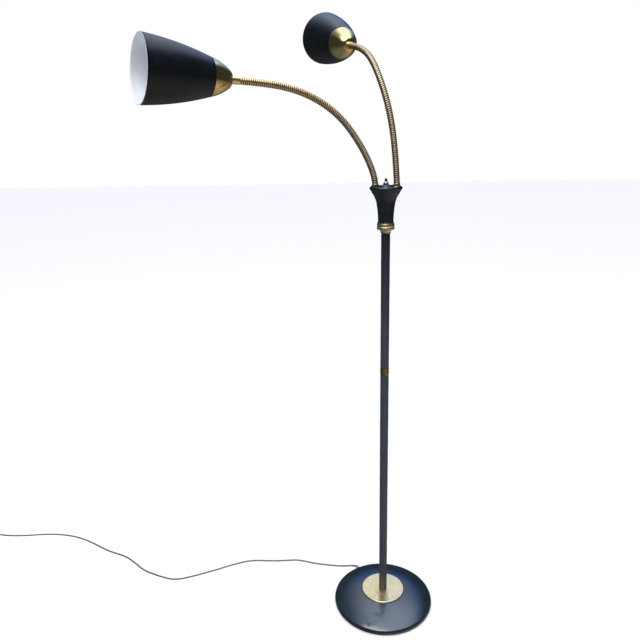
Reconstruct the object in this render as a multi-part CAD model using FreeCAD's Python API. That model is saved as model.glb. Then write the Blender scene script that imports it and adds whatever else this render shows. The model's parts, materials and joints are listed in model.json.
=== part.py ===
import FreeCAD, Part
import math
import os

os.makedirs("parts", exist_ok=True)
V = FreeCAD.Vector
UP = V(0, 0, 1)

# Two-arm flexible-neck floor lamp. Millimetres, +Z up, origin under the middle of the base.

# ---- base ----
BASE_R = 141.0            # 11 inch spun base
FELT_T = 2.0
RIM_BOTTOM = 1.0
RIM_TOP = 15.5
COVER_WALL = 1.2
DOME_TOP = 39.5           # the cover's flat middle
WEIGHT_R = 126.0
WEIGHT_EDGE = 12.0        # height of the casting at its edge
DISC_R = 61.0             # brass disc on the dome
DISC_TOP = 43.0

# ---- pole ----
POLE_R = 11.1             # 7/8 inch tube
POLE_WALL = 1.2
JOINT_LOW = 717.0         # bottom of the brass band between the two tubes
JOINT_HIGH = 741.0
POLE_TOP = 1091.5
ROD_R = 4.8               # 1/8 IP threaded rod, 9.6 mm outside
ROD_BORE_R = 3.1

# ---- hub ----
COLLAR_TOP = 1116.0       # brass ring under the hub
COLLAR_R = 21.6
HUB_WALL = 1.4
LIP_R = 39.6
LIP_Z = 1200.3
LIP_INNER = 35.3
CAP_Z = 1200.0            # flat ring of the hub's lid
CAP_R = 35.2
CAP_T = 1.2
CROWN_Z = 1207.0          # raised middle of the lid
SHAFT_R = 2.0

# ---- flexible necks ----
NECK_R = 7.6
NECK_BORE_R = 4.6
NECK_ROOT_R = 26.2        # how far each neck stands from the hub's axis
NECK_AZIMUTH = 192.0      # where the front neck stands on the hub, degrees
NECK_START_Z = 1203.0
END_LENGTH = 40.0         # a neck's first length
LAST_LENGTH = 43.5        # from the last bend centre to the ferrule
LINK_LENGTH = 72.0        # from one bend centre to the next
BALL_R = 6.35
SOCKET_R = 6.5
SOCKET_RIM = 2.5          # how far a socket reaches below its bend centre
SHOULDER = 6.1            # where the length below stops, short of the centre
PLATE_T = 3.0             # plate that closes its end and carries the ball's stem
STEM_R = 3.4
WIRE_BORE_R = 2.0

# Each neck's direction at its root, its six bend centres and its end,
# as (tilt from vertical, compass angle from +X), degrees.
FRONT_DIRECTIONS = [(0, 0), (23, -177), (30, -165), (48, -154), (64, -148), (79, -143), (86, -142),
                    (85, -144)]
REAR_DIRECTIONS = [(0, 0), (6, 165), (6, 148), (19, 148), (32, 124), (56, 117), (78, 117), (78, 114)]

# ---- shades, along their own axis from the cap's tip ----
FERRULE_L = 18.5
FERRULE_R = 8.3
TIP_R = 7.8
CAP_LENGTH = 46.5
CAP_MOUTH_R = 38.8
MOUTH_R = 66.5
SHADE_LENGTH = 190.5      # tip to mouth
SHADE_WALL = 1.0
SOCKET_SHELL_R = 16.5
BULB_BASE_R = 13.0        # E26
BULB_R = 30.0             # A19
BULB_TIP = 142.0
GLASS_WALL = 0.8

# ---- cord ----
CORD_D = 5.0              # flat two-wire lamp cord, width
CORD_REST = 2.6           # centre height of cord lying on the floor
EXIT_AZIMUTH = 121.0
EXIT_Z = 7.0
RELIEF_TIP_R = 145.0      # where the cord leaves its strain relief, from the pole's axis
CORD_ROUTE = [
    (-74.68, 124.29, EXIT_Z), (-82.5, 134.5, 5.4), (-96.0, 139.5, 3.2), (-113.0, 137.0, CORD_REST),
    (-134.0, 134.0, CORD_REST), (-168.0, 136.0, CORD_REST), (-222.0, 141.0, CORD_REST),
    (-272.0, 154.5, CORD_REST), (-310.0, 148.5, CORD_REST), (-360.0, 142.0, CORD_REST), (-425.0, 141.5, CORD_REST),
    (-478.0, 118.0, CORD_REST), (-540.0, 81.0, CORD_REST), (-600.0, 50.0, CORD_REST),
    (-648.0, 31.0, CORD_REST), (-700.0, 44.0, CORD_REST), (-762.0, 67.0, CORD_REST),
    (-806.0, 102.0, CORD_REST), (-850.0, 131.0, CORD_REST), (-915.0, 150.0, CORD_REST),
    (-975.0, 182.0, CORD_REST), (-1042.0, 212.0, CORD_REST), (-1110.0, 226.0, CORD_REST),
    (-1180.0, 224.0, CORD_REST), (-1248.0, 210.0, CORD_REST), (-1316.0, 206.0, CORD_REST),
    (-1374.0, 214.0, CORD_REST), (-1430.0, 216.5, CORD_REST),
]
COIL_CENTRE = (-1430.0, 250.0)
COIL_INNER = 19.0
COIL_OUTER = 36.0
COIL_HEIGHT = 8.4
TAIL_ANGLE = 242.0        # where the tail leaves the coil, over the part that comes in
TAIL_LENGTH = 22.0
TAIL_Z = 6.5
PLUG_SIZE = (24.0, 26.0, 13.0)
PLUG_RELIEF = 18.0        # length of the plug's tapered tail


# ---------------------------------------------------------------- helpers
def outline(steps):
    """Edges through (r, z) points in the XZ plane. A step of two points is an arc through the first."""
    edges = []
    here = steps[0]
    for step in steps[1:]:
        start = V(here[0], 0, here[1])
        if isinstance(step[0], tuple):
            through, end = step
            arc = Part.Arc(start, V(through[0], 0, through[1]), V(end[0], 0, end[1]))
            edges.append(arc.toShape())
            here = end
        else:
            edges.append(Part.makeLine(start, V(step[0], 0, step[1])))
            here = step
    return edges


def lathe(steps):
    """A turned solid from a closed outline that need not repeat its first point."""
    face = Part.Face(Part.Wire(outline(steps + [steps[0]])))
    return Part.Solid(face.revolve(V(0, 0, 0), UP, 360))


def left_of(edge, at):
    """Unit vector to the left of an edge in the XZ plane."""
    tangent = edge.tangentAt(at)
    return V(-tangent.z, 0, tangent.x)


def spun(steps, wall):
    """A spun sheet of even thickness, from its outer outline with the inside on the left."""
    edges = outline(steps)
    normals = [left_of(edges[0], edges[0].FirstParameter)]
    for a, b in zip(edges, edges[1:]):
        n, m = left_of(a, a.LastParameter), left_of(b, b.FirstParameter)
        normals.append((n + m) * (1 / (1 + n.dot(m))))
    normals.append(left_of(edges[-1], edges[-1].LastParameter))
    corners = [step[1] if isinstance(step[0], tuple) else step for step in steps]
    inner = [(r + n.x * wall, z + n.z * wall) for (r, z), n in zip(corners, normals)]
    back = [inner[-1]]
    for edge, step, corner in zip(reversed(edges), reversed(steps), reversed(inner[:-1])):
        if isinstance(step[0], tuple):
            half = (edge.FirstParameter + edge.LastParameter) / 2
            middle = edge.valueAt(half) + left_of(edge, half) * wall
            back.append(((middle.x, middle.z), corner))
        else:
            back.append(corner)
    return lathe(steps + back)


def ring(outer, inner, low, high):
    return lathe([(inner, low), (outer, low), (outer, high), (inner, high)])


def cylinder(radius, low, high, x=0.0, y=0.0):
    return Part.makeCylinder(radius, high - low, V(x, y, low))


def hex_nut(across, bore, low, high, x=0.0, y=0.0, turn=0.0):
    """A hexagonal nut with its top corners chamfered."""
    corner = across / math.sqrt(3)
    angles = [math.radians(turn + 60 * k) for k in range(7)]
    points = [V(x + corner * math.cos(a), y + corner * math.sin(a), low) for a in angles]
    body = Part.Face(Part.makePolygon(points)).extrude(V(0, 0, high - low))
    slope = Part.makeCone(corner + (high - low), across / 2 * 0.97, high - low, V(x, y, low))
    return body.common(slope).cut(cylinder(bore, low - 1, high + 1, x, y))


def aim(shape, point, direction):
    """Turn a shape built along +Z to a direction and move its origin to a point."""
    placed = shape.copy()
    placed.Placement = FreeCAD.Placement(point, FreeCAD.Rotation(UP, direction))
    return placed


def heading(tilt, azimuth):
    tilt, azimuth = math.radians(tilt), math.radians(azimuth)
    return V(math.sin(tilt) * math.cos(azimuth), math.sin(tilt) * math.sin(azimuth), math.cos(tilt))


def save(name, shape):
    shape.exportStep("parts/" + name + ".step")
    print(name, round(shape.Volume), "mm3", "valid" if shape.isValid() else "NOT VALID", len(shape.Solids))


# ---------------------------------------------------------------- base
def base_pad():
    return cylinder(WEIGHT_R - 2, 0, FELT_T)


def base_weight():
    """A cast disc with a recess for the nut and a channel for the cord."""
    casting = lathe([
        (ROD_R + 0.3, FELT_T), (WEIGHT_R, FELT_T), (WEIGHT_R, WEIGHT_EDGE),
        ((98.0, 19.5), (66.0, 24.0)), (18.0, 27.0), (ROD_R + 0.3, 27.0),
    ])
    recess = cylinder(19.0, FELT_T - 1, FELT_T + 9)
    channel = Part.makeBox(WEIGHT_R + 10, 9.0, 12.0, V(0, -4.5, FELT_T - 1))
    channel.rotate(V(0, 0, 0), UP, EXIT_AZIMUTH)
    return casting.cut(recess).cut(channel)


def base_cover():
    """A spun dome with a rolled rim, rounded over at its shoulder, and a hole for the cord's strain relief."""
    side_r = BASE_R - 0.8
    shell = spun([
        (BASE_R - 2.2, RIM_BOTTOM),
        ((BASE_R, (RIM_BOTTOM + RIM_TOP) / 2 - 1.5), (side_r, RIM_TOP - 3.9)),
        ((side_r - 0.7, RIM_TOP - 1.6), (side_r - 2.5, RIM_TOP + 0.1)),
        ((105.0, 30.2), (DISC_R, DOME_TOP)), (ROD_R + 0.3, DOME_TOP),
    ], COVER_WALL)
    hole = Part.makeCylinder(4.2, 20, V(BASE_R - 12, 0, EXIT_Z), V(1, 0, 0))
    hole.rotate(V(0, 0, 0), UP, EXIT_AZIMUTH)
    return shell.cut(hole)


def base_disc():
    return lathe([
        (ROD_R + 0.3, DOME_TOP), (DISC_R, DOME_TOP), (DISC_R, DISC_TOP - 1.6),
        ((DISC_R - 0.7, DISC_TOP - 0.5), (DISC_R - 2.4, DISC_TOP)), (ROD_R + 0.3, DISC_TOP),
    ])


def cord_relief():
    """A rubber strain relief: tapered inside the base, with a flange each side of the rim's wall."""
    rim = BASE_R - RELIEF_TIP_R
    relief = lathe([(1.8, -23.0), (2.9, -23.0), (3.7, rim - 4.6), (4.5, rim - 4.6), (4.5, rim - 1.6), (4.1, rim - 1.6),
                    (4.1, rim + 0.3), (4.8, rim + 0.3), ((4.6, rim + 1.5), (4.0, rim + 2.2)), (2.9, 0.0), (1.8, 0.0)])
    out = V(math.cos(math.radians(EXIT_AZIMUTH)), math.sin(math.radians(EXIT_AZIMUTH)), 0)
    return aim(relief, out * RELIEF_TIP_R + V(0, 0, EXIT_Z), out)


# ---------------------------------------------------------------- pole
def tube(low, high):
    return ring(POLE_R, POLE_R - POLE_WALL, low, high)


def pole_bushings():
    """Threaded rings pressed into the tubes' four ends."""
    inside = POLE_R - POLE_WALL
    ends = [(ROD_R, DISC_TOP), (8.0, JOINT_LOW - 16), (8.0, JOINT_HIGH), (ROD_R, POLE_TOP - 16)]
    return Part.makeCompound([ring(inside, bore, low, low + 16) for bore, low in ends])


def pole_joint_band():
    """Brass band between the tubes, with a groove near each end and fine ribs between."""
    steps = [(8.0, JOINT_LOW), (POLE_R, JOINT_LOW), (POLE_R, JOINT_LOW + 2.4), (POLE_R - 0.8, JOINT_LOW + 2.8),
             (POLE_R - 0.8, JOINT_LOW + 3.6), (POLE_R + 0.2, JOINT_LOW + 4.0)]
    ribs = 4
    span = (JOINT_HIGH - JOINT_LOW - 8.0) / ribs
    for k in range(ribs):
        low = JOINT_LOW + 4.0 + k * span
        steps.append(((POLE_R + 0.55, low + span / 2), (POLE_R + 0.2, low + span)))
    steps += [(POLE_R - 0.8, JOINT_HIGH - 3.6), (POLE_R - 0.8, JOINT_HIGH - 2.8), (POLE_R, JOINT_HIGH - 2.4),
              (POLE_R, JOINT_HIGH), (8.0, JOINT_HIGH)]
    return lathe(steps)


# ---------------------------------------------------------------- hub
def hub_collar():
    """Turned brass ring: a small foot on the tube, an ogee and a ribbed band."""
    return lathe([
        (ROD_R + 0.1, POLE_TOP), (POLE_R + 1.4, POLE_TOP), ((POLE_R + 2.0, 1092.7), (POLE_R + 1.4, 1094.1)),
        ((14.2, 1096.7), (20.2, 1100.0)), ((21.4, 1100.6), (COLLAR_R, 1102.0)),
        ((COLLAR_R + 0.35, 1104.2), (COLLAR_R, 1106.4)), (COLLAR_R - 0.7, 1107.0),
        ((COLLAR_R - 0.1, 1110.6), (COLLAR_R - 0.7, 1114.2)), (COLLAR_R - 1.2, COLLAR_TOP),
        (ROD_R + 0.1, COLLAR_TOP),
    ])


def hub_body():
    """Spun trumpet with a rolled lip and a ledge that carries the lid."""
    shell = spun([
        (19.8, COLLAR_TOP), (19.8, COLLAR_TOP + 1.0), ((19.2, 1119.0), (19.0, 1122.0)),
        ((20.1, 1143.0), (23.6, 1166.5)), ((28.2, 1179.0), (34.4, 1189.0)), (LIP_R - 2.0, LIP_Z - 4.0),
    ], HUB_WALL)
    bead = lathe([
        (LIP_INNER, LIP_Z - 6.0), (LIP_R - 3.2, LIP_Z - 6.0), ((LIP_R, LIP_Z - 1.0), (LIP_R - 2.4, LIP_Z + 3.0)),
        ((LIP_INNER + 0.8, LIP_Z + 3.2), (LIP_INNER, LIP_Z + 1.6)),
    ])
    ledge = ring(LIP_INNER + 1.0, LIP_INNER - 1.7, CAP_Z - CAP_T - 1.8, CAP_Z - CAP_T)
    floor = ring(18.8, ROD_R + 0.3, COLLAR_TOP, COLLAR_TOP + HUB_WALL)
    pocket = cylinder(LIP_INNER, CAP_Z - CAP_T, LIP_Z + 4)
    return shell.fuse(ledge).fuse(bead).cut(pocket).fuse(floor).removeSplitter()


def neck_root(side):
    """Where a neck stands on the lid: side 0 is the front neck, side 1 the rear."""
    angle = math.radians(NECK_AZIMUTH + 180 * side)
    return NECK_ROOT_R * math.cos(angle), NECK_ROOT_R * math.sin(angle)


def hub_cap():
    """Lid with a raised crown, drilled for the switch and the two necks."""
    under = CAP_Z - CAP_T
    lid = lathe([
        (4.5, CROWN_Z - CAP_T), (8.0, CROWN_Z - CAP_T), ((11.3, CROWN_Z - 3.2), (15.4, under)),
        (CAP_R, under), (CAP_R, CAP_Z), (15.8, CAP_Z), ((12.3, CROWN_Z - 1.8), (8.2, CROWN_Z)), (4.5, CROWN_Z),
    ])
    for side in (0, 1):
        x, y = neck_root(side)
        lid = lid.cut(cylinder(ROD_R + 0.1, under - 2, CAP_Z + 2, x, y))
    return lid


def switch_body():
    """Rotary canopy switch: a moulded case and two screw terminals."""
    case = lathe([(SHAFT_R + 0.6, 1182.0), (13.5, 1182.0), (14.5, 1183.0), (14.5, 1197.0), (13.5, 1198.2),
                  (SHAFT_R + 0.6, 1198.2)])
    for angle in (90, 270):
        x, y = 9.0 * math.cos(math.radians(angle)), 9.0 * math.sin(math.radians(angle))
        case = case.fuse(cylinder(2.6, 1179.5, 1182.5, x, y))
    return case


def switch_bushing():
    return ring(4.4, SHAFT_R + 0.05, 1198.2, 1213.8)


def switch_nut():
    """Conical plated nut that holds the switch to the lid."""
    return lathe([(4.45, CROWN_Z), (6.4, CROWN_Z), (6.4, CROWN_Z + 1.6), ((6.0, CROWN_Z + 4.0), (5.1, CROWN_Z + 6.4)),
                  (4.45, CROWN_Z + 6.4)])


def switch_knob():
    """Small knurled knob, bored for the shaft."""
    knob = lathe([(SHAFT_R, 1214.6), (2.9, 1214.6), (3.3, 1215.1), (3.3, 1220.6), ((3.0, 1221.6), (2.1, 1222.1)),
                  (0, 1222.3), (0, 1218.6), (SHAFT_R, 1218.6)])
    for k in range(18):
        angle = math.radians(20 * k)
        groove = Part.makeCylinder(0.28, 4.8, V(3.4 * math.cos(angle), 3.4 * math.sin(angle), 1215.4))
        knob = knob.cut(groove)
    return knob


def neck_foot(side):
    """Brass cup that holds the neck's root on the lid."""
    x, y = neck_root(side)
    bore = NECK_R + 0.4
    cup = lathe([(ROD_R + 0.05, CAP_Z), (8.7, CAP_Z), ((8.95, CAP_Z + 1.0), (8.7, CAP_Z + 2.0)), (8.5, CAP_Z + 2.4),
                 (8.5, CAP_Z + 8.6), (8.2, CAP_Z + 9.0), (bore, CAP_Z + 9.0),
                 (bore, NECK_START_Z), (ROD_R + 0.05, NECK_START_Z)])
    cup.translate(V(x, y, 0))
    return cup


# ---------------------------------------------------------------- flexible necks
def bend_centres(root, directions):
    """Follow a chain of arcs that turn from each direction to the next."""
    lengths = [END_LENGTH] + [LINK_LENGTH] * 5 + [LAST_LENGTH]
    tangents = [heading(*d) for d in directions]
    points = [root]
    for length, a, b in zip(lengths, tangents, tangents[1:]):
        half = a.getAngle(b) / 2
        chord = length * math.sin(half) / half
        middle = a + b
        middle.normalize()
        points.append(points[-1] + middle * chord)
    return points, tangents


def sweep_face(face, start, end, tangent, back, stop_short):
    """Carry a ring from `back` before the start to `stop_short` before the end of one arc."""
    chord = end - start
    half = chord.getAngle(tangent)
    radius = chord.Length / 2 / math.sin(half)
    axis = tangent.cross(chord)
    axis.normalize()
    centre = start + axis.cross(tangent) * radius
    placed = aim(face, start, tangent)
    placed.rotate(centre, axis, -math.degrees(back / radius))
    sweep = math.degrees(2 * half + (back - stop_short) / radius)
    return Part.Solid(placed.revolve(centre, axis, sweep))


def annulus(outer, inner):
    disc = Part.Face(Part.Wire(Part.makeCircle(outer, V(0, 0, 0), UP)))
    if inner:
        return disc.cut(Part.Face(Part.Wire(Part.makeCircle(inner, V(0, 0, 0), UP)))).Faces[0]
    return disc


def neck_ball(point, tangent):
    """The stem and ball at a length's top end; the stem is swaged through the shoulder plate."""
    stem = ring(STEM_R, WIRE_BORE_R, -SHOULDER - PLATE_T - 0.6, -SOCKET_RIM)
    ball = Part.makeSphere(BALL_R).cut(cylinder(WIRE_BORE_R, -BALL_R - 1, BALL_R + 1))
    return aim(stem.fuse(ball).removeSplitter(), point, tangent)


def neck_length(points, tangents, k):
    """One length of a neck: a socket below, a ball above."""
    start, end = points[k], points[k + 1]
    first, last = k == 0, k == len(points) - 2
    back = 0.0 if first else SOCKET_RIM
    short = 0.0 if last else SHOULDER + PLATE_T
    body = sweep_face(annulus(NECK_R, NECK_BORE_R), start, end, tangents[k], back, short)
    if first:
        tail = ring(ROD_R, NECK_BORE_R - 1.4, CAP_Z - 9.0, NECK_START_Z + 4.0)
        tail.translate(V(start.x, start.y, 0))
        plug = ring(NECK_BORE_R + 0.4, ROD_R - 0.8, NECK_START_Z, NECK_START_Z + 3.0)
        plug.translate(V(start.x, start.y, 0))
        body = body.fuse(plug).fuse(tail)
    else:
        body = body.cut(aim(Part.makeSphere(SOCKET_R), start, tangents[k]))
    if not last:
        below = (END_LENGTH if first else LINK_LENGTH) - SHOULDER - PLATE_T
        plate = sweep_face(annulus(NECK_R, WIRE_BORE_R + 0.7), start, end, tangents[k], -below, SHOULDER)
        body = body.fuse(plate).fuse(neck_ball(end, tangents[k + 1]))
    return body.removeSplitter()


# ---------------------------------------------------------------- shades
def ferrule():
    """Smooth brass sleeve between the neck's end and the shade's cap."""
    return lathe([(NECK_BORE_R + 0.2, -FERRULE_L), (FERRULE_R - 0.4, -FERRULE_L), (FERRULE_R, -FERRULE_L + 0.6),
                  (FERRULE_R, -1.4), (FERRULE_R - 0.5, -0.3), (FERRULE_R - 0.5, 0.0), (NECK_BORE_R + 0.2, 0.0)])


CAP_OUTLINE = [(NECK_BORE_R + 0.3, 0.0), (TIP_R, 0.0), ((TIP_R + 5.2, 1.0), (17.5, 4.0)),
               ((30.7, 24.5), (CAP_MOUTH_R, CAP_LENGTH))]
SHADE_OUTLINE = [(CAP_MOUTH_R, CAP_LENGTH), ((56.2, 113.0), (MOUTH_R, SHADE_LENGTH))]
SEAT_OUTLINE = [(CAP_MOUTH_R - r, CAP_LENGTH + u) for r, u in
                [(3.2, -8.0), (1.5, -3.0), (1.1, 0.0), (0.0, 5.0), (1.0, 5.0), (2.2, 0.0), (4.4, -8.0)]]


def shade_cap():
    """Spun brass dome that closes the back of the shade, with the inner seat the shade is pushed on."""
    return spun(CAP_OUTLINE, SHADE_WALL).fuse(lathe(SEAT_OUTLINE)).removeSplitter()


def shade():
    """Spun shade, gently bellied, open at the mouth."""
    return spun(SHADE_OUTLINE, SHADE_WALL)


def shade_screws():
    """The hollow nipple through the cap's tip and its nut."""
    nipple = ring(NECK_BORE_R + 0.15, ROD_BORE_R, -10.0, 13.0)
    return Part.makeCompound([nipple, hex_nut(14.0, NECK_BORE_R + 0.2, SHADE_WALL, SHADE_WALL + 3.2)])


def socket_cap():
    """Back half of the lamp socket, screwed on the nipple."""
    return lathe([(NECK_BORE_R + 0.2, 5.0), (8.4, 5.0), ((12.6, 7.6), (15.0, 13.0)), (SOCKET_SHELL_R, 14.0),
                  (SOCKET_SHELL_R, 30.0), (SOCKET_SHELL_R - 1.2, 30.0), (SOCKET_SHELL_R - 1.2, 14.6),
                  (NECK_BORE_R + 0.2, 14.6)])


def socket_shell():
    """Front half of the lamp socket with the screw shell's seat."""
    return lathe([(3.0, 26.0), (SOCKET_SHELL_R - 1.3, 26.0), (SOCKET_SHELL_R - 1.3, 30.1), (SOCKET_SHELL_R, 30.1),
                  (SOCKET_SHELL_R, 60.0), (BULB_BASE_R + 0.3, 60.0), (BULB_BASE_R + 0.3, 32.6), (3.0, 32.6)])


def bulb_base():
    """E26 screw base with rounded threads and its centre contact."""
    steps = [(0, 34.0), (4.0, 34.0), (4.0, 35.2), (8.4, 36.6), (BULB_BASE_R - 1.2, 40.0)]
    for k in range(6):
        low = 40.0 + 3.2 * k
        steps.append(((BULB_BASE_R, low + 1.6), (BULB_BASE_R - 1.0, low + 3.2)))
    return lathe(steps + [(BULB_BASE_R - 0.6, 61.0), (BULB_BASE_R - 1.6, 61.0), (0, 61.0)])


def bulb():
    """Pear-shaped glass envelope, open at the bottom where the exhaust tube passes."""
    centre = BULB_TIP - BULB_R
    low, middle, high = [(BULB_R * math.cos(a), centre + BULB_R * math.sin(a)) for a in map(math.radians, (-29, 30, 60))]
    return spun([(1.5, 61.1), (12.0, 61.1), (13.2, 66.0), ((19.0, 80.0), low), (middle, high),
                 ((BULB_R * math.sin(math.radians(15)), centre + BULB_R * math.cos(math.radians(15))),
                  (0, BULB_TIP))], GLASS_WALL)


# ---------------------------------------------------------------- cord
def rounded_path(points):
    """Straight runs joined by tangent arcs as large as their runs allow."""
    points = [V(*p) for p in points]
    edges = []
    radii = []
    here = points[0]
    for before, corner, after in zip(points, points[1:], points[2:]):
        to_corner, away = corner - before, after - corner
        shorter = min(to_corner.Length, away.Length)
        half = to_corner.getAngle(away) / 2
        setback = 0.45 * shorter
        radii.append(setback / math.tan(half))
        to_corner.normalize()
        away.normalize()
        start, end = corner - to_corner * setback, corner + away * setback
        inward = away - to_corner
        inward.normalize()
        centre = corner + inward * (radii[-1] / math.cos(half))
        middle = centre - inward * radii[-1]
        if (start - here).Length > 1e-6:
            edges.append(Part.makeLine(here, start))
        edges.append(Part.Arc(start, middle, end).toShape())
        here = end
    edges.append(Part.makeLine(here, points[-1]))
    return Part.Wire(edges), radii


def cord_tube(points):
    path, radii = rounded_path(points)
    along = V(*points[1]) - V(*points[0])
    section = Part.Wire(Part.makeCircle(CORD_D / 2, V(*points[0]), along))
    solid = path.makePipeShell([section], True, False)
    expected = math.pi * CORD_D ** 2 / 4 * path.Length
    print("cord radii in diameters:", [round(r / CORD_D, 1) for r in radii])
    print("cord length", round(path.Length), "volume over section x length", round(solid.Volume / expected, 4))
    return Part.Solid(solid) if solid.ShapeType == "Shell" else solid


def cord_coil():
    """Outer shape of the wound part of the cord."""
    soft = 3.6
    coil = lathe([
        (COIL_INNER + soft, 0.1), (COIL_OUTER - soft, 0.1), ((COIL_OUTER - 1.0, 1.2), (COIL_OUTER, soft)),
        (COIL_OUTER, COIL_HEIGHT - soft), ((COIL_OUTER - 1.0, COIL_HEIGHT - 1.0), (COIL_OUTER - soft, COIL_HEIGHT)),
        (COIL_INNER + soft, COIL_HEIGHT), ((COIL_INNER + 1.0, COIL_HEIGHT - 1.0), (COIL_INNER, COIL_HEIGHT - soft)),
        (COIL_INNER, soft),
    ])
    coil.translate(V(COIL_CENTRE[0], COIL_CENTRE[1], 0))
    return coil


def tail_start():
    """Where the cord's tail leaves the coil's outer turn, and its direction: the coil is wound clockwise."""
    angle = math.radians(TAIL_ANGLE)
    reach = COIL_OUTER - CORD_D / 2
    spot = V(COIL_CENTRE[0] + reach * math.cos(angle), COIL_CENTRE[1] + reach * math.sin(angle), TAIL_Z)
    return spot, V(math.sin(angle), -math.cos(angle), 0)


def power_cord():
    """The free stretch from the relief to the coil, and the short tail to the plug."""
    coil = cord_coil()
    spot, along = tail_start()
    tail = Part.makeCylinder(CORD_D / 2, TAIL_LENGTH, spot, along)
    return Part.makeCompound([cord_tube(CORD_ROUTE).cut(coil).Solids[0], tail.cut(coil).Solids[0]])


def plug_body():
    """Moulded two-pin plug: a tapered strain relief and a flat grip."""
    wide, long, thick = PLUG_SIZE
    relief = Part.makeCone(3.2, 5.2, PLUG_RELIEF)
    grip = Part.makeBox(wide, thick - 0.2, long, V(-wide / 2, -thick / 2 + 0.1, PLUG_RELIEF - 1.0))
    upright = [e for e in grip.Edges if abs(e.tangentAt(e.FirstParameter).z) > 0.9]
    grip = grip.makeFillet(3.0, upright)
    return relief.fuse(grip)


def plug_pins():
    """Two flat blades, 12.7 mm apart."""
    high = PLUG_RELIEF - 1.0 + PLUG_SIZE[1]
    blades = [Part.makeBox(1.5, 6.3, 16.5, V(x - 0.75, -3.15, high)) for x in (-6.35, 6.35)]
    return Part.makeCompound(blades)


def lay_plug(shape):
    spot, along = tail_start()
    turned = shape.copy()
    turned.rotate(V(0, 0, 0), V(1, 0, 0), -90)
    turned.rotate(V(0, 0, 0), UP, math.degrees(math.atan2(along.y, along.x)) - 90)
    turned.translate(spot + along * TAIL_LENGTH)
    return turned


# ---------------------------------------------------------------- assembly
def save_base_and_pole():
    save("base_pad", base_pad())
    save("base_weight", base_weight())
    save("base_cover", base_cover())
    save("base_disc", base_disc())
    save("base_washer", ring(14.0, ROD_R + 0.2, 9.4, 11.0))
    save("base_nut", hex_nut(17.0, ROD_R, 5.0, 9.4))
    save("base_rod", ring(ROD_R, ROD_BORE_R, 4.0, 62.0))
    save("cord_relief", cord_relief())
    save("lower_pole", tube(DISC_TOP, JOINT_LOW))
    save("pole_joint_band", pole_joint_band())
    save("pole_joint_stud", ring(8.0, 5.0, JOINT_LOW - 14, JOINT_HIGH + 14))
    save("pole_bushings", pole_bushings())
    save("upper_pole", tube(JOINT_HIGH, POLE_TOP))


def save_hub():
    save("hub_collar", hub_collar())
    save("hub_rod", ring(ROD_R, ROD_BORE_R, POLE_TOP - 14, COLLAR_TOP + 12))
    save("hub_nut", hex_nut(15.0, ROD_R, COLLAR_TOP + HUB_WALL, COLLAR_TOP + HUB_WALL + 4.0))
    save("hub_body", hub_body())
    save("hub_cap", hub_cap())
    save("switch_body", switch_body())
    save("switch_bushing", switch_bushing())
    save("switch_nut", switch_nut())
    save("switch_shaft", cylinder(SHAFT_R, 1184.0, 1218.6))
    save("switch_knob", switch_knob())
    roots = [neck_root(side) for side in (0, 1)]
    under = CAP_Z - CAP_T
    nuts = [hex_nut(11.0, ROD_R, under - 4.4, under - 0.1, x, y, NECK_AZIMUTH + 30) for x, y in roots]
    save("neck_lock_nuts", Part.makeCompound(nuts))


def save_arm(name, side, directions):
    x, y = neck_root(side)
    points, tangents = bend_centres(V(x, y, NECK_START_Z), directions)
    print(name, "bend centres", [tuple(round(c, 2) for c in p) for p in points])
    save(name + "_neck_foot", neck_foot(side))
    for k in range(len(points) - 1):
        save("%s_neck_%d" % (name, k + 1), neck_length(points, tangents, k))
    tip = points[-1] + tangents[-1] * FERRULE_L
    pieces = {"ferrule": ferrule, "shade_cap": shade_cap, "shade": shade, "shade_screws": shade_screws,
              "socket_cap": socket_cap, "socket_shell": socket_shell,
              "bulb_base": bulb_base, "bulb": bulb}
    for piece, build in pieces.items():
        save(name + "_" + piece, aim(build(), tip, tangents[-1]))


def save_cord():
    save("power_cord", power_cord())
    save("cord_coil", cord_coil())
    save("plug_body", lay_plug(plug_body()))
    save("plug_pins", lay_plug(plug_pins()))


save_base_and_pole()
save_hub()
save_arm("front", 0, FRONT_DIRECTIONS)
save_arm("rear", 1, REAR_DIRECTIONS)
save_cord()
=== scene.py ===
import json
import math

import bmesh
import bpy
import numpy as np
from mathutils import Matrix, Vector


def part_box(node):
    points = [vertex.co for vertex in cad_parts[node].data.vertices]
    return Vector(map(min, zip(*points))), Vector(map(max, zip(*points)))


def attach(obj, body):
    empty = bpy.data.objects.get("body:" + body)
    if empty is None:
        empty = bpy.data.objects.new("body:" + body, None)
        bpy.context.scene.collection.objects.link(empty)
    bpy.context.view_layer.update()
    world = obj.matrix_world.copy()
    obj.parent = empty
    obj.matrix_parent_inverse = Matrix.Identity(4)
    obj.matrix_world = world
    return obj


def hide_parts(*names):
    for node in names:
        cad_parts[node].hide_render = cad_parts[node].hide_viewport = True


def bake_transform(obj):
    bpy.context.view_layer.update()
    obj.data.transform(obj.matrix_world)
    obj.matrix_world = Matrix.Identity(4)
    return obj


# Looks of the two-light floor lamp. Metres, the frame's own axes: +Z up, origin under the base.
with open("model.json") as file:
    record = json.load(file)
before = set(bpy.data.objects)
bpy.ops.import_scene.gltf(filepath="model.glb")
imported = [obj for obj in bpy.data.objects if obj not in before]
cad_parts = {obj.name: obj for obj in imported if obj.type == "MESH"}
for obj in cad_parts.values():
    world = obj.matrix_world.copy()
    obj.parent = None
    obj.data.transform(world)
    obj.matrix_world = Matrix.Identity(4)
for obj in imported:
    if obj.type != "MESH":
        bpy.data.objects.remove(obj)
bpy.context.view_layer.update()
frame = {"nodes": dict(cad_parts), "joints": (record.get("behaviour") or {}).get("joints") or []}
NODES = frame["nodes"]
MM = 0.001
UP = Vector((0, 0, 1))
ARMS = ("front", "rear")
BENDS = 6

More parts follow.
